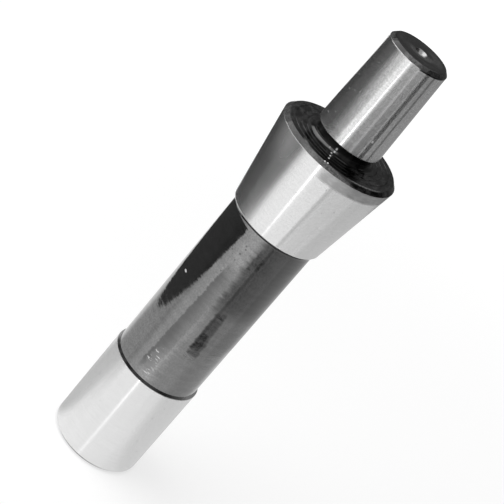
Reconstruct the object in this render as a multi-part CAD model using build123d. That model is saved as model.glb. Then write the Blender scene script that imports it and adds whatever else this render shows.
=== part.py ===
from build123d import *
import os
from math import radians, tan

# Drill chuck arbor, turned and ground from one bar of steel.
# Its lower end is the shank that a milling spindle draws in by a threaded bar.
# Its upper end is the short self-holding taper that a drill chuck is pressed on.
# Millimetres. The axis is +Z and the origin is the centre of the drawbar end's face.

# Parallel shank, from the drawbar end up
bearing_dia = 24.10         # ground bearing that centres the shank in the spindle
bearing_length = 28.0       # from the end face to where the bearing stops
rear_chamfer = 0.8          # 45 degrees, round the drawbar end
relief_depth = 0.55         # the black body lies this far below the bearing, on radius
shoulder_height = 0.848     # step from the black body up to the spindle taper, on radius
shoulder_fillet = 0.55      # root radius under that step
taper_edge_break = 0.2      # small bevel on the spindle taper's lower edge

# Spindle taper: 31.75 across its large end, which lies 101.6 above the end face
shank_length = 101.6
spindle_taper_length = 23.8125
spindle_taper_angle = 16.85  # included, degrees
flange_chamfer = 1.0        # 45 degrees, from the large end up to the flat face

# Neck, the undercut that lets a grinding wheel run out
neck_length = 2.8           # from the flat face to the chuck taper
neck_depth = 0.985          # below the chuck taper's large end, on radius
neck_root_fillet = 1.2      # where the neck runs into the flat face
neck_top_fillet = 0.3       # where it meets the chuck taper's underside

# Chuck taper
chuck_taper_dia = 17.17     # large end, at the neck
chuck_taper_length = 25.85  # large end to the end face
chuck_taper_rate = 0.05191  # loss of diameter for each millimetre of length
tip_chamfer = 0.9           # 45 degrees, round the end face

# Centre holes, on which the arbor turns while it is ground
centre_angle = 60.0         # included, degrees
tip_centre_dia = 3.3        # mouth in the chuck end
tip_pilot_dia = 1.6
tip_pilot_depth = 3.4       # from the end face to the full-width end of the pilot
rear_centre_dia = 12.7      # mouth in the drawbar end, ahead of the thread

# Drawbar hole, drilled for a 7/16 inch, 20 threads to the inch tap
drawbar_drill_dia = 9.92
drawbar_hole_depth = 34.0   # from the end face to the full-width end of the hole
drill_point_angle = 118.0   # included, degrees

# Keyway for the spindle's locating pin, milled with a disc cutter
keyway_width = 4.0
keyway_depth = 3.2          # below the bearing
keyway_floor_length = 38.0  # length at full depth, after which the floor runs out
keyway_cutter_dia = 50.0

# Radii and heights that follow from the sizes above
bearing_r = bearing_dia / 2
relief_r = bearing_r - relief_depth
relief_start = bearing_length + relief_depth
taper_start = shank_length - spindle_taper_length
taper_slope = tan(radians(spindle_taper_angle / 2))
taper_small_r = relief_r + shoulder_height
taper_large_r = taper_small_r + spindle_taper_length * taper_slope
face_height = shank_length + flange_chamfer
chuck_large_r = chuck_taper_dia / 2
neck_r = chuck_large_r - neck_depth
chuck_start = face_height + neck_length
total_length = chuck_start + chuck_taper_length
tip_chamfer_start = total_length - tip_chamfer
chuck_slope = chuck_taper_rate / 2
chuck_small_r = chuck_large_r - (chuck_taper_length - tip_chamfer) * chuck_slope

RIGHT_TURN = -90.0          # an inside corner, walking up the outline
INWARD, UP = (-1, 0), (0, 1)
PAST = 1.0                  # how far a cut starts outside the surface that it opens


def turned_outside():
    """The whole outside: half an outline, walked from the drawbar end up, turned about the axis."""
    with BuildPart() as body:
        with BuildSketch(Plane.XZ):
            with BuildLine():
                shank = Polyline(
                    (0, 0),
                    (bearing_r - rear_chamfer, 0),
                    (bearing_r, rear_chamfer),
                    (bearing_r, bearing_length),
                    (relief_r, relief_start),
                    (relief_r, taper_start - shoulder_fillet),
                )
                shoulder = JernArc(shank @ 1, UP, shoulder_fillet, RIGHT_TURN)
                flange = Polyline(
                    shoulder @ 1,
                    (taper_small_r - taper_edge_break, taper_start),
                    (taper_small_r + taper_edge_break * taper_slope, taper_start + taper_edge_break),
                    (taper_large_r, shank_length),
                    (taper_large_r - flange_chamfer, face_height),
                    (neck_r + neck_root_fillet, face_height),
                )
                neck_root = JernArc(flange @ 1, INWARD, neck_root_fillet, RIGHT_TURN)
                neck = Line(neck_root @ 1, (neck_r, chuck_start - neck_top_fillet))
                neck_top = JernArc(neck @ 1, UP, neck_top_fillet, RIGHT_TURN)
                chuck_end = Polyline(
                    neck_top @ 1,
                    (chuck_large_r, chuck_start),
                    (chuck_small_r, tip_chamfer_start),
                    (chuck_small_r - tip_chamfer, total_length),
                    (0, total_length),
                )
                Line(chuck_end @ 1, shank @ 0)
            make_face()
        revolve(axis=Axis.Z)
    return body.part


def drilled_hole(mouth_r, hole_r, depth):
    """A hole about the axis, as a solid to cut away. It opens at height 0 with a centre cone,
    runs up at hole_r to depth and ends in the drill's point."""
    cone_depth = (mouth_r - hole_r) / tan(radians(centre_angle / 2))
    point_depth = hole_r / tan(radians(drill_point_angle / 2))
    flare = PAST * tan(radians(centre_angle / 2))
    with BuildPart() as hole:
        with BuildSketch(Plane.XZ):
            with BuildLine():
                Polyline(
                    (0, -PAST),
                    (mouth_r + flare, -PAST),
                    (hole_r, cone_depth),
                    (hole_r, depth),
                    (0, depth + point_depth),
                    close=True,
                )
            make_face()
        revolve(axis=Axis.Z)
    return hole.part


def drawbar_hole():
    """The hole for the drawbar's thread, opened by the centre cone of the drawbar end."""
    return drilled_hole(rear_centre_dia / 2, drawbar_drill_dia / 2, drawbar_hole_depth)


def tip_centre():
    """The small centre hole in the chuck end's face, pointing down into it."""
    hole = drilled_hole(tip_centre_dia / 2, tip_pilot_dia / 2, tip_pilot_depth)
    return Pos(0, 0, total_length) * Rot(180, 0, 0) * hole


def keyway():
    """What the disc cutter takes out: a flat floor from the drawbar end, then its own round run-out."""
    floor_y = bearing_r - keyway_depth
    cutter_r = keyway_cutter_dia / 2
    with BuildPart() as slot:
        with BuildSketch(Plane.YZ):
            with BuildLine():
                floor = Line((floor_y, -PAST), (floor_y, keyway_floor_length))
                run_out = JernArc(floor @ 1, UP, cutter_r, RIGHT_TURN)
                Polyline(run_out @ 1, (floor_y + cutter_r, -PAST), floor @ 0)
            make_face()
        extrude(amount=keyway_width / 2, both=True)
    return slot.part


arbor = turned_outside() - drawbar_hole() - tip_centre() - keyway()

os.makedirs("parts", exist_ok=True)
export_step(arbor, "parts/arbor.step")

print("total length", round(total_length, 3))
print("spindle taper, small and large end", round(2 * taper_small_r, 3), round(2 * taper_large_r, 3))
print("chuck taper, small end", round(2 * chuck_small_r, 3))
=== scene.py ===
# %% [markdown]
# # A drill chuck arbor
#
# The arbor joins a drill chuck to a milling machine. Its thick lower end, the shank, is drawn up into
# the machine's spindle, and the chuck is pressed on the short taper at the top. It was turned from one
# bar of steel on a lathe, so nearly all of its shape is one outline turned about one axis.
#
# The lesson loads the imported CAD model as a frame, turns the same outline again with Blender's own
# tools so that every edge is slightly rounded, cuts the drawbar's thread and the keyway, and then
# spends its time on the finishes.

# %% The frame
import math

import bmesh
import bpy
from mathutils import Euler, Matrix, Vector


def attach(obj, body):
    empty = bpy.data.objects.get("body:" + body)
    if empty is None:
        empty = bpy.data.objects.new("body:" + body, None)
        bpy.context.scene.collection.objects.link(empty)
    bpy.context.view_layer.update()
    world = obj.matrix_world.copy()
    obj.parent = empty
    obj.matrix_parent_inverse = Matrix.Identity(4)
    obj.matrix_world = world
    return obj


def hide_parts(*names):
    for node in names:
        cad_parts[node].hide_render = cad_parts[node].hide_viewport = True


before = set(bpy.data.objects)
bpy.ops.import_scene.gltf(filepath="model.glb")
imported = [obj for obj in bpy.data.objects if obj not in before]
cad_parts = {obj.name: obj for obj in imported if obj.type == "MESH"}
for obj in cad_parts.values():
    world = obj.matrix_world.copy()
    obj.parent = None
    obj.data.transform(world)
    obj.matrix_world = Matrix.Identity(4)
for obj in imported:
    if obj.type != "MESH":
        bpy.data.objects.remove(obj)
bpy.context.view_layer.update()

# %% [markdown]
# ## Sizes
#
# Every size is the one the CAD source uses, in millimetres as on a workshop drawing, and MM turns it
# into Blender's metres. Heights are measured from the drawbar end's face, which stands on the floor.
# The stub is the short taper that the chuck sits on, and the relief is the dark body, which lies a
# little below the bearing.

# %% Sizes of the arbor
MM = 0.001

BEARING_R = 12.05
BEARING_TOP = 28.0
REAR_CHAMFER = 0.8
RELIEF_R = 11.5
RELIEF_BOTTOM = 28.55
CONE_BOTTOM = 77.7875
CONE_SMALL_R = 12.348
CONE_TOP = 101.6
CONE_LARGE_R = 15.875
FLANGE_CHAMFER = 1.0
FACE_Z = 102.6
NECK_R = 7.6
STUB_BOTTOM = 105.4
STUB_LARGE_R = 8.585
STUB_TOP = 130.35
STUB_SMALL_R = 7.9374
TIP_CHAMFER = 0.9
TIP_Z = 131.25

print("total length", TIP_Z, "mm; largest diameter", 2 * CONE_LARGE_R, "mm")

# %% [markdown]
# ## Helpers
#
# Blender's operators act on whatever is selected, so each step first lets go of everything and then
# picks its own points or faces by where they are. These three helpers do that picking.

# %% Picking things
def select_nothing():
    """Leaves edit mode and lets go of every object."""
    if bpy.context.object and bpy.context.object.mode != "OBJECT":
        bpy.ops.object.mode_set(mode="OBJECT")
    bpy.ops.object.select_all(action="DESELECT")


def hold(piece):
    """Makes one object the only one that operators act on."""
    select_nothing()
    piece.select_set(True)
    bpy.context.view_layer.objects.active = piece


def pick_points(piece, wanted):
    """In edit mode, selects only the points for which wanted(co) is true, and says how many."""
    bpy.ops.mesh.select_mode(type="VERT")
    bpy.ops.mesh.select_all(action="DESELECT")
    shape = bmesh.from_edit_mesh(piece.data)
    picked = [v for v in shape.verts if wanted(v.co)]
    for v in picked:
        v.select_set(True)
    bmesh.update_edit_mesh(piece.data)
    return len(picked)


# %% [markdown]
# ## The outline
#
# A turner follows a drawing of half the outline, and so does this step. A plane is merged into one
# point on the axis, at the bottom of the drawbar's hole, and that point is extruded from station to
# station: down the hole, round the outside and back to the axis in the little centre hole on top. A
# Bezier curve could hold the same line, but stations are easier to check against the drawing. The
# corners that will be rounded have names, because the step after this one asks for them again.

# %% Sizes of the holes, the ring and the tool's grooves
DRAWBAR_R = 4.96
DRAWBAR_DEPTH = 34.0
DRAWBAR_MOUTH_R = 6.35
PILOT_R = 0.8
PILOT_DEPTH = 3.4
CENTRE_MOUTH_R = 1.65
half_centre = math.tan(math.radians(30))
half_point = math.tan(math.radians(59))

RING_BOTTOM = CONE_BOTTOM - 1.25
RING_TOP = CONE_BOTTOM - 0.7
RING_RISE = 0.15

# The small bevel on the cone's lower edge
BREAK_IN, BREAK_OUT, BREAK_UP = 0.1, 0.03, 0.2

GROOVE_RADII = (13.2, 11.5, 10.0)
GROOVE_DEPTH = 0.1
GROOVE_HALF_WIDTH = 0.08


def tool_grooves():
    """Stations of the little V grooves that the facing tool left, from the rim inwards."""
    walls = ((GROOVE_HALF_WIDTH, 0), (0, GROOVE_DEPTH), (-GROOVE_HALF_WIDTH, 0))
    return [(r + out, FACE_Z - down) for r in GROOVE_RADII for out, down in walls]


print("ring", RING_RISE, "mm high;", len(GROOVE_RADII), "grooves", GROOVE_DEPTH, "mm deep")

# %% Corners, each a radius and a height
rear_centre_edge = (DRAWBAR_MOUTH_R, 0)
rear_face_edge = (BEARING_R - REAR_CHAMFER, 0)
bearing_low = (BEARING_R, REAR_CHAMFER)
bearing_high = (BEARING_R, BEARING_TOP)
body_low = (RELIEF_R, RELIEF_BOTTOM)
ring_low = (RELIEF_R, RING_BOTTOM)
ring_root = (RELIEF_R + RING_RISE, CONE_BOTTOM)
cone_low = (CONE_SMALL_R - BREAK_IN, CONE_BOTTOM)
cone_start = (CONE_SMALL_R + BREAK_OUT, CONE_BOTTOM + BREAK_UP)
cone_end = (CONE_LARGE_R, CONE_TOP)
face_rim = (CONE_LARGE_R - FLANGE_CHAMFER, FACE_Z)
neck_root = (NECK_R, FACE_Z)
neck_top = (NECK_R, STUB_BOTTOM)
stub_low = (STUB_LARGE_R, STUB_BOTTOM)
stub_high = (STUB_SMALL_R, STUB_TOP)
tip_rim = (STUB_SMALL_R - TIP_CHAMFER, TIP_Z)
tip_centre_edge = (CENTRE_MOUTH_R, TIP_Z)

stations = [
    (0, DRAWBAR_DEPTH + DRAWBAR_R / half_point),
    (DRAWBAR_R, DRAWBAR_DEPTH),
    (DRAWBAR_R, (DRAWBAR_MOUTH_R - DRAWBAR_R) / half_centre),
    rear_centre_edge, rear_face_edge, bearing_low, bearing_high, body_low, ring_low,
    (RELIEF_R + RING_RISE, RING_TOP),
    ring_root, cone_low, cone_start, cone_end, face_rim,
    *tool_grooves(),
    neck_root, neck_top, stub_low, stub_high, tip_rim, tip_centre_edge,
    (PILOT_R, TIP_Z - (CENTRE_MOUTH_R - PILOT_R) / half_centre),
    (PILOT_R, TIP_Z - PILOT_DEPTH),
    (0, TIP_Z - PILOT_DEPTH - PILOT_R / half_point),
]
print("outline on paper goes from", stations[0], "to", stations[-1], "mm")


def on_outline(station):
    """Where a station is in Blender: the outline is drawn in the plane of X and Z."""
    return Vector((station[0], 0, station[1])) * MM


# %% The outline, extruded from station to station
select_nothing()
bpy.ops.mesh.primitive_plane_add(size=MM, location=(0, 0, 0))
arbor = bpy.context.object
arbor.name = "turned_arbor"
bpy.ops.object.mode_set(mode="EDIT")
bpy.ops.mesh.merge(type="CENTER")
here = on_outline(stations[0])
bpy.ops.transform.translate(value=here)
for station in stations[1:]:
    there = on_outline(station)
    bpy.ops.mesh.extrude_vertices_move(TRANSFORM_OT_translate={"value": there - here})
    here = there
print("outline with", len(stations), "stations")

# %% [markdown]
# No real edge is perfectly sharp. The inside corners, at the neck and at the ring under the spindle
# taper, have the radius of the tool that cut them, and the other edges were broken with a file. A
# bevel on the outline's points gives each its own radius before anything is turned, which is far less
# work than a bevel on finished edges.

# %% Rounded corners, the radius first
corner_rounds = (
    (0.6, [ring_root]),
    (0.25, [ring_low]),
    (1.2, [neck_root]),
    (0.3, [neck_top]),
    (0.12, [rear_centre_edge, rear_face_edge, bearing_low, bearing_high, body_low, face_rim, stub_low,
            tip_rim, tip_centre_edge]),
    (0.03, [cone_end, stub_high]),
    (0.02, [cone_low, cone_start]),
)
WIDE_ROUND = 0.2
SAME_PLACE = 0.002 * MM


def near_corner(corners):
    """A test for points that lie on one of the corners, within a few micrometres."""
    places = [on_outline(corner) for corner in corners]
    return lambda co: any((co - place).length < SAME_PLACE for place in places)


for radius, corners in corner_rounds:
    found = pick_points(arbor, near_corner(corners))
    bpy.ops.mesh.bevel(
        offset_type="OFFSET", offset=radius * MM, segments=10 if radius > WIDE_ROUND else 4,
        profile=0.5, affect="VERTICES",
    )
    print("rounded", found, "corners of", radius, "mm")

# %% [markdown]
# ## Turning
#
# Spin sweeps the outline once round the axis, which is just what the lathe does. It leaves a seam
# where the sweep meets itself and a heap of points at each end of the axis, so doubles are merged, and
# then the normals are made to face outwards.

# %% The outline spun round the axis
STEPS_ROUND = 192
DOUBLE = 0.0005 * MM

bpy.ops.mesh.select_all(action="SELECT")
bpy.ops.mesh.spin(steps=STEPS_ROUND, angle=2 * math.pi, center=(0, 0, 0), axis=(0, 0, 1))
bpy.ops.mesh.select_all(action="SELECT")
bpy.ops.mesh.remove_doubles(threshold=DOUBLE)
bpy.ops.mesh.normals_make_consistent(inside=False)
bpy.ops.object.mode_set(mode="OBJECT")
print("turned body with", len(arbor.data.polygons), "faces")

# %% [markdown]
# ## The keyway
#
# A milling machine's spindle has a small pin that stops the arbor from turning, and the pin runs in a
# slot along the back of the shank. The slot is milled with a disc cutter, so its floor is flat from
# the end face and then rises in the disc's own curve. A disc and a bar are cut away by two Booleans,
# which gives that curve exactly.

# %% Keyway cut with a disc and a bar
KEYWAY_WIDTH = 4.0
KEYWAY_FLOOR_Y = BEARING_R - 3.2
KEYWAY_FLOOR_TOP = 38.0
CUTTER_R = 25.0
BAR_THICKNESS = 10.0
BAR_BOTTOM = -2.0


def cut_away(piece, tool):
    """Takes the tool's shape out of the piece with a Boolean, and throws the tool away."""
    hold(piece)
    bpy.ops.object.modifier_add(type="BOOLEAN")
    cut = piece.modifiers[-1]
    cut.operation = "DIFFERENCE"
    cut.solver = "EXACT"
    cut.object = tool
    bpy.ops.object.modifier_apply(modifier=cut.name)
    bpy.data.objects.remove(tool)


select_nothing()
bpy.ops.mesh.primitive_cylinder_add(
    vertices=160, radius=CUTTER_R * MM, depth=KEYWAY_WIDTH * MM, rotation=(0, math.pi / 2, 0),
    location=(0, (KEYWAY_FLOOR_Y + CUTTER_R) * MM, KEYWAY_FLOOR_TOP * MM),
)
cut_away(arbor, bpy.context.object)

select_nothing()
bpy.ops.mesh.primitive_cube_add(
    size=1,
    location=(0, (KEYWAY_FLOOR_Y + BAR_THICKNESS / 2) * MM, (KEYWAY_FLOOR_TOP + BAR_BOTTOM) / 2 * MM),
    scale=(KEYWAY_WIDTH * MM, BAR_THICKNESS * MM, (KEYWAY_FLOOR_TOP - BAR_BOTTOM) * MM),
)
cut_away(arbor, bpy.context.object)
print("keyway cut;", len(arbor.data.polygons), "faces")

# %% [markdown]
# ## The drawbar's thread
#
# The bar that pulls the arbor into the spindle screws into its lower end. A tap cuts a groove with
# sides at sixty degrees that climbs 1.27 mm a turn. One such groove section is made from a plane, and
# the Screw modifier winds it up the hole as a tool for another Boolean. The section starts a little
# inside the hole's wall, so that the cut is clean.

# %% The groove's section
PITCH = 1.27
THREAD_R = 5.556
THREAD_TURNS = 24
STEPS_A_TURN = 48
GROOVE_ROOT = PITCH / 8
GROOVE_START_R = DRAWBAR_R - 0.16
section_depth = THREAD_R - GROOVE_START_R
section_mouth = GROOVE_ROOT + 2 * section_depth * math.tan(math.radians(30))
section_middle = GROOVE_START_R + section_depth / 2

select_nothing()
bpy.ops.mesh.primitive_plane_add(size=1, rotation=(math.pi / 2, 0, 0))
thread_tool = bpy.context.object
bpy.ops.object.transform_apply(location=False, rotation=True, scale=False)
bpy.ops.object.mode_set(mode="EDIT")
bpy.ops.transform.resize(value=(section_depth * MM, 1, section_mouth * MM))
bpy.ops.transform.translate(value=(section_middle * MM, 0, -PITCH * MM))
pick_points(thread_tool, lambda co: co.x > section_middle * MM)
bpy.ops.transform.resize(
    value=(1, 1, GROOVE_ROOT / section_mouth), center_override=(THREAD_R * MM, 0, -PITCH * MM)
)
bpy.ops.object.mode_set(mode="OBJECT")
print("groove", round(section_mouth, 3), "mm wide at its mouth and", round(section_depth, 3), "mm deep")

# %% Thread cut with the wound section
bpy.ops.object.modifier_add(type="SCREW")
winding = thread_tool.modifiers[-1]
winding.screw_offset = PITCH * MM
winding.iterations = THREAD_TURNS
winding.steps = winding.render_steps = STEPS_A_TURN
bpy.ops.object.modifier_apply(modifier=winding.name)
bpy.ops.object.mode_set(mode="EDIT")
bpy.ops.mesh.select_all(action="SELECT")
bpy.ops.mesh.remove_doubles(threshold=DOUBLE)
bpy.ops.mesh.select_all(action="DESELECT")
bpy.ops.mesh.select_non_manifold()
bpy.ops.mesh.fill_holes(sides=8)
bpy.ops.mesh.select_all(action="SELECT")
bpy.ops.mesh.normals_make_consistent(inside=False)
bpy.ops.object.mode_set(mode="OBJECT")
print("thread tool with", len(thread_tool.data.polygons), "faces")
cut_away(arbor, thread_tool)
print("threaded body with", len(arbor.data.polygons), "faces")

# %% [markdown]
# ## Smooth shading
#
# Smooth shading by angle keeps the edges of the keyway and thread crisp. The Weighted Normal modifier
# then lets the wide faces decide the shading at their borders, so that a broken edge catches the
# light as a thin line and doesn't smear across the ground steel.

# %% Shading of the turned body
CRISP_FROM = math.radians(35)

hold(arbor)
bpy.ops.object.shade_smooth_by_angle(angle=CRISP_FROM)
bpy.ops.object.modifier_add(type="WEIGHTED_NORMAL")
arbor.modifiers[-1].keep_sharp = True
bpy.ops.object.modifier_apply(modifier=arbor.modifiers[-1].name)
print("modifiers left:", len(arbor.modifiers))

# %% [markdown]
# ## Finishes
#
# The real arbor has three finishes. The bearing, the spindle taper and the chuck taper are ground
# bright, because other parts have to fit them. The body between is left dark and semi-gloss from the
# heat treatment, with patches of thicker black oxide. The flat faces, the neck and the chamfers are
# glossy black. All of them carry fine marks that run round the axis.
#
# A material here is a small net of nodes, and many of its masks are wanted more than once, so they are
# node groups. The next helpers make the nets short to write: a value given to a node is either a plain
# number, which is set on the socket, or another node's output, which is wired to it.

# %% Helpers for nodes
def feed(tree, value, socket):
    """Wires an output to a socket, or sets a plain value on it."""
    if isinstance(value, bpy.types.NodeSocket):
        tree.links.new(value, socket)
    else:
        socket.default_value = value


def add_node(tree, kind, options=None, **values):
    """A new node, with its options, and its inputs by name."""
    made = tree.nodes.new("ShaderNode" + kind)
    for name, option in (options or {}).items():
        setattr(made, name, option)
    for name, value in values.items():
        feed(tree, value, made.inputs[name.replace("_", " ")])
    return made


def maths(tree, operation, *values):
    """A Math node's result."""
    made = tree.nodes.new("ShaderNodeMath")
    made.operation = operation
    for value, socket in zip(values, made.inputs):
        feed(tree, value, socket)
    return made.outputs[0]


def times(tree, first, *others):
    """Values multiplied. A mask times a mask is where both are, and a mask times a number is fainter."""
    for other in others:
        first = maths(tree, "MULTIPLY", first, other)
    return first


def ramp(tree, value, start, end, low=0.0, high=1.0):
    """A soft step: low until start, high from end on."""
    made = add_node(
        tree, "MapRange", {"interpolation_type": "SMOOTHSTEP"}, Value=value,
        From_Min=start, From_Max=end, To_Min=low, To_Max=high,
    )
    return made.outputs["Result"]


# %% Helpers for node groups
def new_group(name, inputs, outputs):
    """An empty node group with number sockets: its tree, and the sockets inside to take from and feed."""
    tree = bpy.data.node_groups.new(name, "ShaderNodeTree")
    for socket in inputs:
        tree.interface.new_socket(name=socket, in_out="INPUT", socket_type="NodeSocketFloat")
    for socket in outputs:
        tree.interface.new_socket(name=socket, in_out="OUTPUT", socket_type="NodeSocketFloat")
    return tree, tree.nodes.new("NodeGroupInput").outputs, tree.nodes.new("NodeGroupOutput").inputs


def use_group(tree, group, **values):
    """Places a node group in a material or in another group, with its own values."""
    made = tree.nodes.new("ShaderNodeGroup")
    made.node_tree = group
    for name, value in values.items():
        feed(tree, value, made.inputs[name])
    return made.outputs


def object_place(tree):
    """Where a point of the surface is on its own object."""
    return add_node(tree, "TexCoord").outputs["Object"]


# %% [markdown]
# The first group says where a point of the surface is on the arbor: its angle round the axis in
# degrees, from the side that faces the photographer, and its height and radius in millimetres. Object
# coordinates carry this, and because the piece sits at the origin they are also the drawing's.

# %% Group: where on the arbor
TO_MM = 1000.0

where_group, _, where_out = new_group("where_on_arbor", (), ("Angle", "Height", "Radius"))
axes = add_node(where_group, "SeparateXYZ", Vector=object_place(where_group)).outputs
angle = maths(where_group, "ARCTAN2", axes["X"], times(where_group, axes["Y"], -1))
squares = [times(where_group, axes[a], axes[a]) for a in "XY"]
distance = maths(where_group, "SQRT", maths(where_group, "ADD", *squares))
feed(where_group, maths(where_group, "DEGREES", angle), where_out["Angle"])
feed(where_group, times(where_group, axes["Z"], TO_MM), where_out["Height"])
feed(where_group, times(where_group, distance, TO_MM), where_out["Radius"])
print("group", where_group.name, "gives", [socket.name for socket in where_out if socket.name])

# %% [markdown]
# The marks of the lathe and of the grinding wheel run round the axis. Noise does for both, once it is
# squeezed along the outline and stretched round it. The sum of height and radius changes along a
# cylinder, a cone and a flat face alike, so it serves as the squeezed direction on all of them. Only
# on the narrow chamfers does it stand still, and they are too small to show marks. Such noise is
# nearly always between 0.35 and 0.65, and most ramps that spread it between two tones or two degrees
# of polish start and end there.

# %% Group: turning marks
NOISE = (0.35, 0.65)
WIDE_NOISE = (0.3, 0.7)

marks_group, marks_in, marks_out = new_group("turning_marks", ("Pitch", "Run"), ("Marks",))
where = use_group(marks_group, where_group)
axes = add_node(marks_group, "SeparateXYZ", Vector=object_place(marks_group)).outputs
outline = maths(marks_group, "ADD", where["Height"], where["Radius"])
along = maths(marks_group, "DIVIDE", outline, marks_in["Pitch"])
round_x, round_y = [
    maths(marks_group, "DIVIDE", times(marks_group, axes[a], TO_MM), marks_in["Run"]) for a in "XY"
]
squeezed = add_node(marks_group, "CombineXYZ", X=round_x, Y=round_y, Z=along).outputs["Vector"]
noise = add_node(marks_group, "TexNoise", Vector=squeezed, Scale=1.0, Detail=3.0, Roughness=0.6)
feed(marks_group, noise.outputs["Fac"], marks_out["Marks"])
print("group", marks_group.name, "takes", [socket.name for socket in marks_in if socket.name])


def marks_of(tree, pitch, run):
    """Marks that lie so many millimetres apart along the outline and are so long round the axis."""
    return use_group(tree, marks_group, Pitch=pitch, Run=run)["Marks"]


# %% [markdown]
# Patches of a finish have a place on the arbor. This group is a mask that is 1 between two borders,
# which may be angles, heights or radii, and fades over a soft stretch at each.

# %% Group: between two borders
between_group, b_in, b_out = new_group("between", ("Value", "Low", "High", "Soft"), ("Mask",))
rise, fall = [
    ramp(
        between_group, b_in["Value"],
        maths(between_group, "SUBTRACT", b_in[border], b_in["Soft"]),
        maths(between_group, "ADD", b_in[border], b_in["Soft"]),
    )
    for border in ("Low", "High")
]
not_past = maths(between_group, "SUBTRACT", 1.0, fall)
feed(between_group, times(between_group, rise, not_past), b_out["Mask"])
print("group", between_group.name, "takes", [socket.name for socket in b_in if socket.name])


def within(tree, value, low, high, soft):
    """1 where the value is between the two borders."""
    return use_group(tree, between_group, Value=value, Low=low, High=high, Soft=soft)["Mask"]


# %% [markdown]
# Used steel also has small things on it that follow no tool: specks of dust and pits, and here and
# there a chip. A speck is a dot in the middle of a cell of a Voronoi texture, and half of the cells
# have none, so that they don't stand in rows.

# %% Group: specks
specks_group, sp_in, sp_out = new_group("specks", ("Spacing", "Size"), ("Specks",))
in_cells = add_node(
    specks_group, "VectorMath", {"operation": "SCALE"}, Vector=object_place(specks_group),
    Scale=maths(specks_group, "DIVIDE", TO_MM, sp_in["Spacing"]),
).outputs["Vector"]
cells = add_node(specks_group, "TexVoronoi", Vector=in_cells, Scale=1.0)
dots = maths(specks_group, "LESS_THAN", cells.outputs["Distance"], sp_in["Size"])
chance = add_node(specks_group, "SeparateColor", Color=cells.outputs["Color"]).outputs["Red"]
chosen = maths(specks_group, "GREATER_THAN", chance, 0.5)
feed(specks_group, times(specks_group, dots, chosen), sp_out["Specks"])
print("group", specks_group.name, "takes", [socket.name for socket in sp_in if socket.name])


def specks_of(tree, spacing, size):
    """Specks about so many millimetres apart, their radius given as a part of that spacing."""
    return use_group(tree, specks_group, Spacing=spacing, Size=size)["Specks"]


# %% [markdown]
# A chip is one oval, at a given angle and at a given place along the outline. Height less radius is
# that place, because it grows from the flange's rim inwards over the face, and then up the neck and
# the chuck taper. A group is chosen here, because many chips and nicks differ only in their numbers.

# %% Group: one oval spot
spot_group, spot_in, spot_out = new_group("spot", ("Angle", "Place", "Wide", "Long"), ("Mask",))
where = use_group(spot_group, where_group)
turned = maths(spot_group, "RADIANS", maths(spot_group, "SUBTRACT", where["Angle"], spot_in["Angle"]))
across = maths(spot_group, "DIVIDE", times(spot_group, turned, where["Radius"]), spot_in["Wide"])
outline_place = maths(spot_group, "SUBTRACT", where["Height"], where["Radius"])
from_place = maths(spot_group, "SUBTRACT", outline_place, spot_in["Place"])
along = maths(spot_group, "DIVIDE", from_place, spot_in["Long"])
apart = maths(spot_group, "ADD", times(spot_group, across, across), times(spot_group, along, along))
feed(spot_group, ramp(spot_group, apart, 1.2, 0.5), spot_out["Mask"])
print("group", spot_group.name, "takes", [socket.name for socket in spot_in if socket.name])


def spot_at(tree, angle, place, wide, long):
    """An oval spot, its half width and half length in millimetres."""
    return use_group(tree, spot_group, Angle=angle, Place=place, Wide=wide, Long=long)["Mask"]


# %% [markdown]
# The last helpers are what the materials have in common: greys that are laid over each other through
# masks, a fine even grain, a relief, and reflections that are stretched along the arbor.

# %% Helpers for finishes
GRAIN_SCALE = 2600.0


def start_material(name):
    """A material with its Principled shader, and where its surface points are on the arbor."""
    material = bpy.data.materials.new(name)
    material.use_nodes = True
    tree = material.node_tree
    return material, tree, tree.nodes["Principled BSDF"], use_group(tree, where_group)


def mix_tone(tree, mask, first, second):
    """A grey that goes from first to second as the mask goes from 0 to 1."""
    made = add_node(tree, "Mix", {"data_type": "RGBA"})
    feed(tree, mask, made.inputs["Factor"])
    for name, tone in (("A", first), ("B", second)):
        socket = next(s for s in made.inputs if s.name == name and s.type == "RGBA")
        feed(tree, (tone, tone, tone, 1) if isinstance(tone, float) else tone, socket)
    return next(s for s in made.outputs if s.type == "RGBA")


def lay_over(tree, tone, layers):
    """Lays more greys over a grey, each through its own mask, the last one on top."""
    for mask, grey in layers:
        tone = mix_tone(tree, mask, tone, grey)
    return tone


def grain(tree, low, high):
    """A fine even grain between two values."""
    noise = add_node(tree, "TexNoise", Vector=object_place(tree), Scale=GRAIN_SCALE, Detail=2.0)
    return ramp(tree, noise.outputs["Fac"], *WIDE_NOISE, low, high)


def grainy(tree, colour, amount):
    """The colour with a fine grain, so much darker and so much lighter."""
    made = add_node(tree, "VectorMath", {"operation": "SCALE"}, Scale=grain(tree, 1 - amount, 1 + amount))
    feed(tree, colour, made.inputs[0])
    return made.outputs["Vector"]


def spread_along_axis(tree, shader, amount):
    """Stretches the shader's reflections across marks that run round Z."""
    shader.inputs["Anisotropic"].default_value = amount
    shader.inputs["Anisotropic Rotation"].default_value = 0.25
    tangent = add_node(tree, "Tangent", {"direction_type": "RADIAL", "axis": "Z"})
    feed(tree, tangent.outputs["Tangent"], shader.inputs["Tangent"])


def bump(tree, shader, height, depth):
    """Gives the shader's normal a relief of that depth in metres."""
    made = add_node(tree, "Bump", Strength=1.0, Distance=depth, Height=height)
    feed(tree, made.outputs["Normal"], shader.inputs["Normal"])
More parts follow.
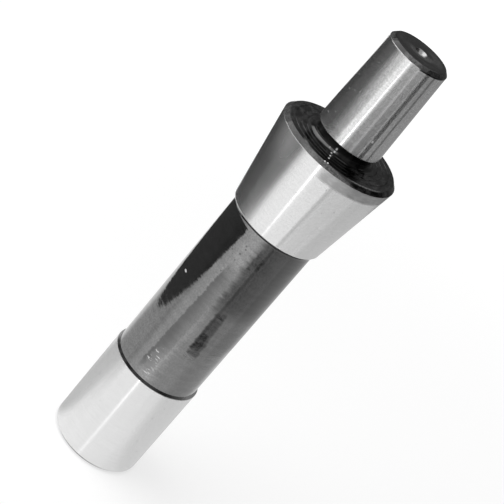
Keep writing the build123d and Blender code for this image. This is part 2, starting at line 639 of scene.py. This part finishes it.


# %% [markdown]
# ### Ground steel
#
# A grinding wheel leaves scratches too fine to see, which all run round the axis. They spread a
# reflection along the arbor and keep it narrow across, which is why a lamp shows as a long thin line.
# The shader's anisotropy does this, with a tangent that runs round Z. A little bump and a little
# change of tone add the few marks that are coarse enough to be seen. Where a ground part ends in a
# blackened chamfer, its last quarter of a millimetre is painted nearly black on the right half, from
# about fifteen degrees right of the front round to the back.

# %% Ground steel
NO_EDGE = 500.0
DARK_EDGE_LENGTH = 0.28
DARK_EDGE_TONE = 0.04


def ground_steel(name, tone, roughness, stretch, depth, graininess, top=NO_EDGE, metallic=1.0):
    """Bright ground steel. The other stretches of the arbor that are ground differ in tone and polish."""
    material, tree, shader, where = start_material(name)
    shader.inputs["Metallic"].default_value = metallic
    spread_along_axis(tree, shader, stretch)
    fine = marks_of(tree, 0.25, 6.0)
    both = maths(tree, "ADD", times(tree, fine, 0.75), times(tree, marks_of(tree, 1.6, 14.0), 0.25))
    colour = mix_tone(tree, ramp(tree, both, *NOISE), tone * 0.97, tone * 1.02)
    specks = times(tree, specks_of(tree, 2.2, 0.07), 0.6)
    at_edge = within(tree, where["Height"], top - DARK_EDGE_LENGTH, top + 1.0, 0.05)
    # A band under the top edge, painted nearly black on the right half only.
    dark_edge_band = times(tree, at_edge, ramp(tree, where["Angle"], 10, 20))
    colour = lay_over(tree, colour, ((specks, tone * 0.4), (dark_edge_band, DARK_EDGE_TONE)))
    feed(tree, grainy(tree, colour, graininess), shader.inputs["Base Color"])
    polish = ramp(tree, both, *WIDE_NOISE, roughness * 0.94, roughness * 1.06)
    feed(tree, polish, shader.inputs["Roughness"])
    bump(tree, shader, fine, depth)
    return material, tree, shader, where


def wired(shader, name):
    """The output that is already wired to one of the shader's inputs."""
    return shader.inputs[name].links[0].from_socket


bearing_finish = ground_steel(
    "ground_bearing", tone=0.76, roughness=0.23, stretch=0.97, depth=0.0000002, graininess=0.015
)[0]
centre_finish = ground_steel(
    "drilled_centre", tone=0.28, roughness=0.3, stretch=0.3, depth=0.0000004, graininess=0.05
)[0]
print("finishes", bearing_finish.name, "and", centre_finish.name)

# %% [markdown]
# The chuck taper has faint specks of dust all over and one bright chip near its lower end. Neither
# mirrors the room, so they take some of the metal away as well as change the tone.

# %% Ground steel of the chuck taper
STUB_METAL = 0.96

stub_finish, tree, shader, _ = ground_steel(
    "ground_chuck_taper", tone=0.72, roughness=0.17, stretch=0.96, depth=0.0000004, graininess=0.1,
    top=STUB_TOP, metallic=STUB_METAL,
)
chip = spot_at(tree, angle=33.0, place=101.95, wide=0.34, long=0.4)
dust = times(tree, specks_of(tree, 1.4, 0.11), 0.6)
colour = lay_over(tree, wired(shader, "Base Color"), ((dust, 0.5), (chip, 1.0)))
feed(tree, colour, shader.inputs["Base Color"])
dull = maths(tree, "ADD", times(tree, chip, 0.9), times(tree, dust, 0.8))
feed(tree, maths(tree, "SUBTRACT", STUB_METAL, dull), shader.inputs["Metallic"])
print("finish", stub_finish.name)

# %% [markdown]
# The spindle taper is bright, with a duller band round the front of its wide end where the grinding
# stopped, and its left side is a little hazy.

# %% Ground steel of the spindle taper
CONE_METAL = 0.95
BAND_BOTTOM = 99.3
HAZE_BOTTOM = 96.0
PAST_THE_CONE = 120.0
BAND_TONE, BAND_ROUGHNESS = 0.5, 0.34

cone_finish, tree, shader, where = ground_steel(
    "ground_spindle_taper", tone=0.80, roughness=0.18, stretch=0.97, depth=0.0000007, graininess=0.035,
    top=CONE_TOP, metallic=CONE_METAL,
)
band_marks = marks_of(tree, 0.7, 1.6)
ragged_height = maths(tree, "ADD", where["Height"], band_marks)
top_band = times(
    tree,
    within(tree, ragged_height, BAND_BOTTOM, PAST_THE_CONE, 0.35),
    within(tree, where["Angle"], 0.0, 85.0, 7),
    ramp(tree, band_marks, *WIDE_NOISE, 1.2, 0.75),
)
feed(tree, mix_tone(tree, top_band, wired(shader, "Base Color"), BAND_TONE), shader.inputs["Base Color"])
polished = times(tree, wired(shader, "Roughness"), maths(tree, "SUBTRACT", 1.0, top_band))
rougher = times(tree, top_band, BAND_ROUGHNESS)
feed(tree, maths(tree, "ADD", polished, rougher), shader.inputs["Roughness"])

upper_haze = times(
    tree,
    within(tree, where["Height"], HAZE_BOTTOM, PAST_THE_CONE, 5),
    within(tree, where["Angle"], -56.0, -29.0, 12),
)
left_haze = within(tree, where["Angle"], -43.0, -26.0, 6)
dull = maths(tree, "ADD", times(tree, upper_haze, 0.2), times(tree, left_haze, 0.14))
feed(tree, maths(tree, "SUBTRACT", CONE_METAL, dull), shader.inputs["Metallic"])
print("finish", cone_finish.name, "with a band from", BAND_BOTTOM, "mm up")

# %% [markdown]
# ### The dark body
#
# The middle of the shank was only turned. It is smoother along the arbor than the ground parts, so it
# mirrors what stands around it with clear borders, and the turning marks make those borders ragged.
# On the side that faces the photographer it has a broad patch of darker oxide, and two streaks that
# are painted dark reflections of something in front of it. Every patch is moved to and fro by the same
# marks, so that their borders are torn along them.

# %% Dark body: patches
RAGGED_DEGREES = 14.0
RAGGED_MM_A_DEGREE = 0.35

body_finish, tree, shader, where = start_material("dark_body")
marks = marks_of(tree, 1.0, 4.0)
ragged = times(tree, maths(tree, "SUBTRACT", marks, 0.5), RAGGED_DEGREES)
angle = maths(tree, "ADD", where["Angle"], ragged)
height = maths(tree, "ADD", where["Height"], times(tree, ragged, RAGGED_MM_A_DEGREE))


def patch(angles, heights, lean=0.0, rough=1.0):
    """A ragged patch between two angles and between two heights, each given as low, high and soft.
    It leans by so many degrees a millimetre."""
    torn_angle = maths(tree, "ADD", where["Angle"], times(tree, ragged, rough))
    from_middle = maths(tree, "SUBTRACT", height, (heights[0] + heights[1]) / 2)
    upright = maths(tree, "SUBTRACT", torn_angle, times(tree, from_middle, lean))
    return times(tree, within(tree, upright, *angles), within(tree, height, *heights))


def strongest(*masks):
    """The strongest of several masks."""
    most = masks[0]
    for mask in masks[1:]:
        most = maths(tree, "MAXIMUM", most, mask)
    return most


# %% Dark body: oxide and painted dark reflections on the side that faces the photographer
blots = ramp(tree, marks_of(tree, 1.4, 5.0), *NOISE, 0.82, 1.0)
broad = times(
    tree, patch((5, 88, 7), (54, 84, 5)),
    ramp(tree, angle, 22, 34, 0.77, 0.7), ramp(tree, where["Angle"], 30, 65, 1.0, 0.72),
)
right_side = times(tree, patch((6, 72, 7), (15, 56, 3)), 0.3)
# A mottled streak on the right front, a painted dark reflection of something in front of the arbor.
streak_dark_reflection = times(tree, strongest(
    times(tree, patch((15, 31, 3), (40.5, 57, 2), lean=-0.35, rough=0.5), 0.78),
    patch((15, 29, 3), (43, 49.4, 1.0), rough=0.5),
    patch((15, 29, 3), (53.2, 54.8, 0.8), rough=0.5),
), blots)
# The middle streak is a painted dark reflection too.
middle_dark_reflection = times(
    tree, patch((-15.5, 3, 1.5), (31, 66, 3), lean=0.2, rough=0.6),
    ramp(tree, where["Angle"], -13, 3, 0.58, 0.27),
)
top_corner = times(tree, patch((6, 21, 2.5), (68, 75.3, 1), rough=0.5), 0.9, blots)
haze = times(tree, patch((-33, -14, 4), (20, RING_BOTTOM, 3)), 0.2)
oxide_and_dark_reflections = strongest(right_side, broad, streak_dark_reflection, middle_dark_reflection, top_corner, haze)
pits = times(tree, specks_of(tree, 1.3, 0.2), patch((-22, -5, 2), (60, 76, 2)), 0.5)
oxide_and_dark_reflections = strongest(times(tree, oxide_and_dark_reflections, grain(tree, 0.86, 1.14)), pits)
# Two of the six patches, the streaks, are painted dark reflections.
print("six patches of oxide and a few pits")

# %% [markdown]
# Under the oxide the body is a middle grey metal. It has a few bright dashes near its foot, which are
# painted glints of the lamp, and a chip on the left that shows bare metal. The relief adds coarser waves
# to the marks, and it is these that tear the borders of what the body mirrors.

# %% Dark body: the finish
OXIDE_AND_REFLECTION_TONE = 0.03
BODY_METAL = 0.94

tone = mix_tone(tree, ramp(tree, marks_of(tree, 1.2, 8.0), *NOISE), 0.275, 0.31)
# The oxide and the painted dark reflections share one near-black tone.
colour = grainy(tree, mix_tone(tree, oxide_and_dark_reflections, tone, OXIDE_AND_REFLECTION_TONE), 0.13)
dashes = ramp(tree, marks_of(tree, 0.4, 1.7), 0.58, 0.66)
# Bright dashes near the foot, painted glints of the lamp.
painted_glints = times(tree, patch((-13, 2, 2), (29.5, 38, 1.5)), maths(tree, "ADD", dashes, 0.13))
chip = spot_at(tree, angle=-52.5, place=44.5, wide=0.7, long=0.3)
feed(tree, lay_over(tree, colour, ((painted_glints, 0.66), (chip, 0.85))), shader.inputs["Base Color"])
feed(tree, maths(tree, "SUBTRACT", BODY_METAL, times(tree, chip, 0.9)), shader.inputs["Metallic"])
feed(tree, ramp(tree, marks, *NOISE, 0.06, 0.11), shader.inputs["Roughness"])
waves = times(tree, marks_of(tree, 2.4, 6.0), 2.0)
bump(tree, shader, maths(tree, "ADD", marks, waves), 0.000013)
print("finish", body_finish.name)

# %% [markdown]
# ### Glossy black
#
# The faces, the neck and the chamfers were blackened after turning. Black oxide is a thin skin that
# isn't a metal to look at, so the shader is plain and dark, and its gloss picks out the tool's rings.
# On the sides that face the lamp and the paper, the flange's chamfer, the bevel round the tip and the
# rounded step under the cone are painted a dark grey, as painted reflections. The rim has a thin painted
# highlight on the right, the front of the black surfaces is painted darker, as a painted dark
# reflection, and four small spots in a row on the flange are painted glints.

# %% Glossy black: rings and worn edges
black_finish, tree, shader, where = start_material("black_oxide")
shader.inputs["Specular IOR Level"].default_value = 0.4


def round_from(low, high, soft):
    """1 between two angles round the axis."""
    return within(tree, where["Angle"], low, high, soft)


def ring_at(low, high, soft, bottom):
    """A ring on the upper faces, between two radii and above a height."""
    above = maths(tree, "GREATER_THAN", where["Height"], bottom)
    return times(tree, within(tree, where["Radius"], low, high, soft), above)


RIM_R = 15.9
DEGREES_A_MM = 24

clouds = marks_of(tree, 1.2, 2.2)
# The front of the black surfaces is painted darker, as a painted dark reflection.
front_dark_reflection = round_from(-50.0, 35.0, 12)
# The far left, where the black is painted lighter, as a painted reflection.
far_left_lit = round_from(-84.0, -64.0, 5)
from_rim = maths(tree, "SUBTRACT", RIM_R, where["Radius"])
leaning_angle = maths(tree, "ADD", where["Angle"], times(tree, from_rim, DEGREES_A_MM))
# The rim's chamfer, painted grey on its left and front and tapering across it: a painted reflection of
# the lamp.
rim_painted_reflection = times(tree, ring_at(14.75, 17, 0.1, 101.5), ramp(tree, leaning_angle, 40, 26))
# A thin painted highlight on the face's outer edge, on the right.
rim_edge_highlight = times(tree, ring_at(14.72, 15.05, 0.06, 102.3), round_from(27.0, 62.0, 8))
tip_bevel = within(tree, where["Height"], 130.4, 131.2, 0.05)
# The rounded step under the cone, painted light grey on the left: a painted reflection of the paper.
under_cone_reflection = times(tree, within(tree, where["Height"], 77.0, 77.75, 0.05), round_from(-90.0, -40.0, 5))
# The greys on these edges are painted reflections.
print("worn edges at the rim, the tip and under the cone")

# %% Glossy black: the finish
END_FACE = 131
GLINT_TONE = 0.9

swirl = ramp(tree, marks_of(tree, 1.5, 5.0), 0.38, 0.62)
# Four bright spots on the flange, painted glints.
glint_spots = ((-2.9, 87.85), (0.1, 88.15), (-2.5, 90.8), (-3.5, 92.6))

tone = mix_tone(tree, ramp(tree, clouds, 0.4, 0.62), 0.0005, 0.036)
tone = lay_over(tree, tone, (
    (times(tree, front_dark_reflection, 0.85), 0.0005),
    # Painted reflections on the rim, the tip's bevel and the step under the cone.
    (rim_painted_reflection, 0.024),
    (times(tree, rim_painted_reflection, round_from(-22.0, 60.0, 10)), 0.115),
    (times(tree, rim_painted_reflection, far_left_lit), 0.07),
    (times(tree, tip_bevel, far_left_lit), 0.06),
    (under_cone_reflection, 0.46),
    (ring_at(1.8, 7.2, 0.2, END_FACE), 0.004),
    (times(tree, ring_at(2.4, 6.4, 0.3, END_FACE), swirl), 0.018),
    (times(tree, ring_at(3.4, 5.8, 0.5, END_FACE), round_from(85.0, 160.0, 20)), 0.04),
    # A lighter ring round the centre hole on its front, a painted highlight.
    (times(tree, ring_at(1.6, 3.5, 0.4, 130.9), round_from(-75.0, 100.0, 25)), 0.065),
    # The tip's bevel, painted lighter on the right as a painted reflection, and brightest at its front as
    # a painted highlight.
    (times(tree, tip_bevel, round_from(14.0, 75.0, 7)), 0.04),
    (times(tree, tip_bevel, round_from(-18.0, 15.0, 7)), 0.125),
    # A bright front arc at the mouth of the centre hole, a painted highlight.
    (times(tree, ring_at(1.6, 2.3, 0.2, 130.5), round_from(-12.0, 40.0, 8)), 0.4),
    *((spot_at(tree, angle, place, wide=0.24, long=0.38), GLINT_TONE) for angle, place in glint_spots),
    (rim_edge_highlight, 0.13),
))
feed(tree, grainy(tree, tone, 0.5), shader.inputs["Base Color"])
rings = marks_of(tree, 0.5, 30.0)
feed(tree, ramp(tree, rings, *NOISE, 0.08, 0.15), shader.inputs["Roughness"])
bump(tree, shader, rings, 0.000004)
spread_along_axis(tree, shader, 0.3)
print("finish", black_finish.name, "with", len(glint_spots), "glint_spots")

# %% [markdown]
# The neck is out of the light and its black is duller. Two thin arcs round its foot, one up on its root
# and one out on the face, are painted highlights, and four more painted glints follow those on the
# flange.

# %% Black of the neck
MM_A_DEGREE = 0.009

neck_finish, tree, shader, where = start_material("neck_black")
shader.inputs["Specular IOR Level"].default_value = 0.12
clouds = marks_of(tree, 1.2, 2.2)
leaning_height = maths(tree, "SUBTRACT", where["Height"], times(tree, where["Angle"], MM_A_DEGREE))
# A thin arc up on the neck's root, a painted highlight that leans as a reflection on the fillet does.
root_arc_highlight = times(
    tree, within(tree, leaning_height, 102.97, 103.42, 0.09), within(tree, where["Angle"], -70.0, 2.0, 4)
)
# A thin arc out on the face, a painted highlight.
face_arc_highlight = times(
    tree, within(tree, where["Radius"], 8.3, 8.7, 0.1), within(tree, where["Angle"], 2.0, 24.0, 5)
)
# Four more painted glints.
glint_spots = ((-5.5, 94.25, 0.6), (-3.2, 95.3, 0.9), (-14.1, 95.35, 0.4), (-3.4, 96.25, 0.9))
tone = mix_tone(tree, ramp(tree, clouds, *NOISE), 0.003, 0.013)
tone = lay_over(tree, tone, (
    (within(tree, where["Angle"], -24.0, 1.0, 5), 0.022),
    (root_arc_highlight, 0.2),
    (face_arc_highlight, 0.07),
    *((spot_at(tree, angle, place, wide=0.26, long=0.36), grey) for angle, place, grey in glint_spots),
))
feed(tree, tone, shader.inputs["Base Color"])
feed(tree, ramp(tree, clouds, *NOISE, 0.12, 0.2), shader.inputs["Roughness"])
print("finish", neck_finish.name, "with", len(glint_spots), "glint_spots")

# %% [markdown]
# The corner above the bearing is matt and dark, partly black oxide and partly painted shade in the
# step, and lighter towards the front and the sides. It has a material of its own, because it mirrors
# nothing, unlike the steel above and below it.

# %% Oxide and painted shade in the corner above the bearing
corner_oxide_and_shade, tree, shader, where = start_material("oxide_and_shade_in_corner")
shader.inputs["Roughness"].default_value = 0.9
shader.inputs["Specular IOR Level"].default_value = 0.1
lighter_sides = maths(tree, "ADD", ramp(tree, where["Angle"], 30, 75), ramp(tree, where["Angle"], -66, -84))
tone = mix_tone(tree, ramp(tree, marks_of(tree, 1.0, 2.0), *NOISE), 0.01, 0.05)
tone = lay_over(tree, tone, (
    # Black oxide and painted shade in the step, lighter towards the front and the sides.
    (times(tree, within(tree, where["Angle"], -8.0, 20.0, 6), 0.6), 0.09),
    (lighter_sides, 0.3),
    (ramp(tree, where["Angle"], 55, 72), 0.5),
    (ramp(tree, where["Height"], BEARING_TOP + 0.1, BEARING_TOP + 0.02), 0.8),
))
feed(tree, tone, shader.inputs["Base Color"])
print("finish", corner_oxide_and_shade.name)

# %% [markdown]
# Each face of the turned body gets its finish from where it lies on the arbor. The borders stand a
# few hundredths of a millimetre off the corners, so that a rounded edge goes with the right side.

# %% Finishes on the faces
finishes = (
    bearing_finish, cone_finish, stub_finish, centre_finish, body_finish, black_finish, neck_finish,
    corner_oxide_and_shade,
)
for material in finishes:
    arbor.data.materials.append(material)


def finish_of(z, r):
    """Which finish a face has, by its height and radius in millimetres."""
    if REAR_CHAMFER - 0.05 < z < BEARING_TOP and r > BEARING_R - 0.1:
        return bearing_finish
    if CONE_BOTTOM < z < CONE_TOP + 0.05 and r > CONE_SMALL_R - 0.3:
        return cone_finish
    if STUB_BOTTOM + 0.02 < z < STUB_TOP + 0.05 and r > STUB_SMALL_R - 0.2:
        return stub_finish
    if RELIEF_BOTTOM + 0.1 < z < RING_TOP and r > RELIEF_R - 0.3:
        return body_finish
    if BEARING_TOP - 0.02 < z < RELIEF_BOTTOM + 0.1 and r > RELIEF_R - 0.3:
        return corner_oxide_and_shade
    if r < CENTRE_MOUTH_R and z > TIP_Z - 2.5:
        return centre_finish
    if FACE_Z < z < STUB_BOTTOM - 0.01 and r < NECK_R + 1.2:
        return neck_finish
    return black_finish


for face in arbor.data.polygons:
    centre = face.center / MM
    face.material_index = finishes.index(finish_of(centre.z, math.hypot(centre.x, centre.y)))
for index, material in enumerate(finishes):
    print(material.name, sum(face.material_index == index for face in arbor.data.polygons), "faces")

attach(arbor, "root")
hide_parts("arbor")

# %% [markdown]
# ## The studio
#
# The arbor stands on white paper. Ground steel shows nothing but what stands around it, so the look
# of the photograph comes from its surroundings, and those can be read from the reflections: the paper
# ends in a straight edge on the left, past which the bench is dark, and the right side is dimmer.
# The camera stands where the photograph's outlines put it, turned on its side by forty degrees.

# %% Camera
CAMERA_PLACE = (0, -0.3626, 0.23554)
LOOK_DOWN = math.radians(24.881)
ROLL = math.radians(40.264)
SENSOR, LENS = 36, 120.77

select_nothing()
bpy.ops.object.camera_add(location=CAMERA_PLACE)
camera = bpy.context.object
camera.rotation_mode = "QUATERNION"
tilt = Euler((math.pi / 2 - LOOK_DOWN, 0, 0)).to_quaternion()
camera.rotation_quaternion = tilt @ Euler((0, 0, ROLL)).to_quaternion()
camera.data.sensor_width = SENSOR
camera.data.lens = LENS
camera.data.shift_x, camera.data.shift_y = 0.00054, 0.00143
camera.data.clip_start = 0.01
camera.data.clip_end = 50
bpy.context.scene.camera = camera
print("camera at", CAMERA_PLACE, "with a lens of", LENS, "mm")


# %% [markdown]
# The paper is lit like any paper, and so keeps the arbor's shadow, and it also glows a little for the
# camera and for reflections, so that it comes out white without strong lamps. Far from the arbor the
# glow grows until the paper runs into the white world without a horizon.

# %% Floor
FLOOR_SIZE = 30
PAPER_TONE = 0.4
GLOW_NEAR, GLOW_FAR = 0.7, 0.99


def seen_directly(tree):
    """1 for rays from the camera, from a reflection or through glass, and 0 for the light that fills."""
    path = add_node(tree, "LightPath").outputs
    looks = maths(tree, "ADD", path["Is Camera Ray"], path["Is Glossy Ray"])
    return maths(tree, "MINIMUM", maths(tree, "ADD", looks, path["Is Transmission Ray"]), 1.0)


def choose(tree, factor, first, second, output):
    """Mixes two shaders and wires the mix to a new output node of that kind."""
    choice = tree.nodes.new("ShaderNodeMixShader")
    for value, socket in zip((factor, first, second), choice.inputs):
        feed(tree, value, socket)
    feed(tree, choice.outputs[0], tree.nodes.new(output).inputs["Surface"])


select_nothing()
bpy.ops.mesh.primitive_plane_add(size=FLOOR_SIZE, location=(0, 0, 0))
floor = bpy.context.object
floor.name = "paper_floor"
paper = bpy.data.materials.new("white_paper")
paper.use_nodes = True
tree = paper.node_tree
tree.nodes.clear()
away = add_node(tree, "VectorMath", {"operation": "LENGTH"}, Vector=object_place(tree)).outputs["Value"]
glow = add_node(tree, "Emission", Strength=ramp(tree, away, 0.1, 0.8, GLOW_NEAR, GLOW_FAR)).outputs[0]
lit = add_node(tree, "BsdfDiffuse", Color=(PAPER_TONE, PAPER_TONE, PAPER_TONE, 1)).outputs[0]
both = tree.nodes.new("ShaderNodeAddShader")
feed(tree, lit, both.inputs[0])
feed(tree, glow, both.inputs[1])
choose(tree, seen_directly(tree), lit, both.outputs[0], "ShaderNodeOutputMaterial")
floor.data.materials.append(paper)
print("floor", FLOOR_SIZE, "m wide")

# %% [markdown]
# The white world shows at full strength to the camera and in reflections, but it lights the scene with
# only about a third of that, so that the lamp on the left still gives the arbor a brighter side.

# %% World
FILL, SEEN = 0.35, 1.0

world = bpy.data.worlds.new("white_room")
bpy.context.scene.world = world
world.use_nodes = True
tree = world.node_tree
tree.nodes.clear()
fill, seen = [
    add_node(tree, "Background", Color=(1, 1, 1, 1), Strength=strength).outputs[0]
    for strength in (FILL, SEEN)
]
choose(tree, seen_directly(tree), fill, seen, "ShaderNodeOutputWorld")
print("world fills with", FILL, "and shows as", SEEN)

# %% [markdown]
# One large lamp on the left lights the arbor. The long bright line down its front is the mirror image
# of a lamp that is as narrow as a window's gap, so that one lights nothing else.

# %% Lamps
def softbox(name, place, size, power, aim=(0, 0, 0.07)):
    """A rectangular area lamp that faces the arbor."""
    select_nothing()
    facing = (Vector(aim) - Vector(place)).to_track_quat("-Z", "Y").to_euler()
    bpy.ops.object.light_add(type="AREA", location=place, rotation=facing)
    lamp = bpy.context.object
    lamp.name = name
    lamp.data.shape = "RECTANGLE"
    lamp.data.size, lamp.data.size_y = size
    lamp.data.energy = power
    lamp.visible_camera = False
    print("lamp", name, "of", power, "W")
    return lamp


softbox("key", (-0.6, -0.1, 0.6), (1.0, 1.0), 6)
line_lamp = softbox("front_line", (-0.0247, -0.235, 0.003), (0.0009, 0.006), 0.0185, aim=(0, 0, 0.06))
line_lamp.visible_diffuse = False

# %% [markdown]
# The rest of the surroundings are cards that only reflections see: the bench past the paper's edge, a
# wall, two dark posts, and stretches of the paper that are in shade. Some stand up, and the others lie
# in rings on the floor round the arbor, because a ring maps simply to an angle on the turned steel.
# Each lies a tenth of a millimetre above the one before it, and their ends fade.

# %% Helpers for cards
def only_mirrored(card, tone, start=-400.0, end=400.0, soft=1.0):
    """Makes a card that only reflections see, with the tone that they show. Its two ends may be soft."""
    material = bpy.data.materials.new(card.name)
    material.use_nodes = True
    tree = material.node_tree
    tree.nodes.clear()
    shade = add_node(tree, "Emission", Color=(tone, tone, tone, 1), Strength=1.0).outputs[0]
    clear = add_node(tree, "BsdfTransparent").outputs[0]
    here = within(tree, use_group(tree, where_group)["Angle"], start, end, soft)
    choose(tree, here, clear, shade, "ShaderNodeOutputMaterial")
    card.data.materials.append(material)
    card.visible_camera = card.visible_shadow = card.visible_diffuse = False


def card(name, place, size, rotation, tone):
    """A flat rectangular card."""
    select_nothing()
    bpy.ops.mesh.primitive_plane_add(size=1, location=place, rotation=rotation)
    made = bpy.context.object
    made.name = name
    made.scale = (*size, 1)
    only_mirrored(made, tone)


def ring_card(name, near, far, start, end, tone, soft, level):
    """A card on the floor between two distances and two directions, in degrees from the front."""
    first, last = math.radians(start - soft), math.radians(end + soft)
    ahead = Vector((math.sin(first), -math.cos(first), 0))
    select_nothing()
    bpy.ops.mesh.primitive_plane_add(size=MM, location=(0, 0, 0))
    made = bpy.context.object
    made.name = name
    bpy.ops.object.mode_set(mode="EDIT")
    bpy.ops.mesh.merge(type="CENTER")
    bpy.ops.transform.translate(value=ahead * near + Vector((0, 0, level)))
    bpy.ops.mesh.extrude_vertices_move(TRANSFORM_OT_translate={"value": ahead * (far - near)})
    bpy.ops.mesh.select_all(action="SELECT")
    bpy.ops.mesh.spin(steps=32, angle=first - last, center=(0, 0, 0), axis=(0, 0, 1))
    bpy.ops.object.mode_set(mode="OBJECT")
    only_mirrored(made, tone, start, end, soft)


# %% Cards
UPRIGHT = (math.pi / 2, 0, 0)
FACING_SIDE = (math.pi / 2, 0, math.pi / 2)
LEVEL_STEP = 0.0001
FIRST_LEVEL = 0.0006

card("bench_left", (-0.5392, 0.0445, 0.00085), (0.9, 0.762), (0, 0, math.radians(-10.5)), 0.04)
card("bench_far_left", (-0.66, 0.5, 0.00085), (0.9, 0.52), (0, 0, 0), 0.04)
card("back_flag", (0.1, 0.45, 0.235), (1.2, 0.52), UPRIGHT, 0.14)
card("left_wall", (-0.98, 0, 0.12), (1.6, 0.26), FACING_SIDE, 0.05)
card("right_flag", (0.5, 0.1, 0.45), (0.9, 0.8), FACING_SIDE, 0.05)

# Name, nearest and farthest in metres, first and last direction in degrees, tone, softness in degrees.
rings_on_floor = (
    ("paper_left", 0.05, 0.14, -125, -52, 0.66, 10),
    ("paper_left_near", 0.0125, 0.05, -150, -75, 0.67, 14),
    ("paper_right_near", 0.0125, 0.085, 60, 165, 0.8, 14),
    ("paper_right", 0.085, 0.215, 36, 80, 0.72, 9),
    ("paper_back_right", 0.085, 0.215, 80, 165, 0.63, 6),
    ("bench_right", 0.215, 0.8, 58, 165, 0.33, 6),
    ("bench_right_near", 0.215, 0.8, 30, 58, 0.07, 6),
    ("paper_edge", 0.085, 0.215, 31, 38, 0.55, 2),
    ("bench_front", 0.215, 0.8, 1, 30, 0.16, 7),
    ("post", 0.215, 0.8, 60, 74, 0.05, 3),
    ("thin_post", 0.215, 0.8, 92, 99, 0.12, 2),
)
for order, row in enumerate(rings_on_floor):
    ring_card(*row, FIRST_LEVEL + order * LEVEL_STEP)
print("five flat cards and", len(rings_on_floor), "in rings on the floor")

# %% [markdown]
# The tones were set against the photograph without a film's curve, so the picture is shown as it is lit.

# %% The end
bpy.context.scene.view_settings.view_transform = "Standard"
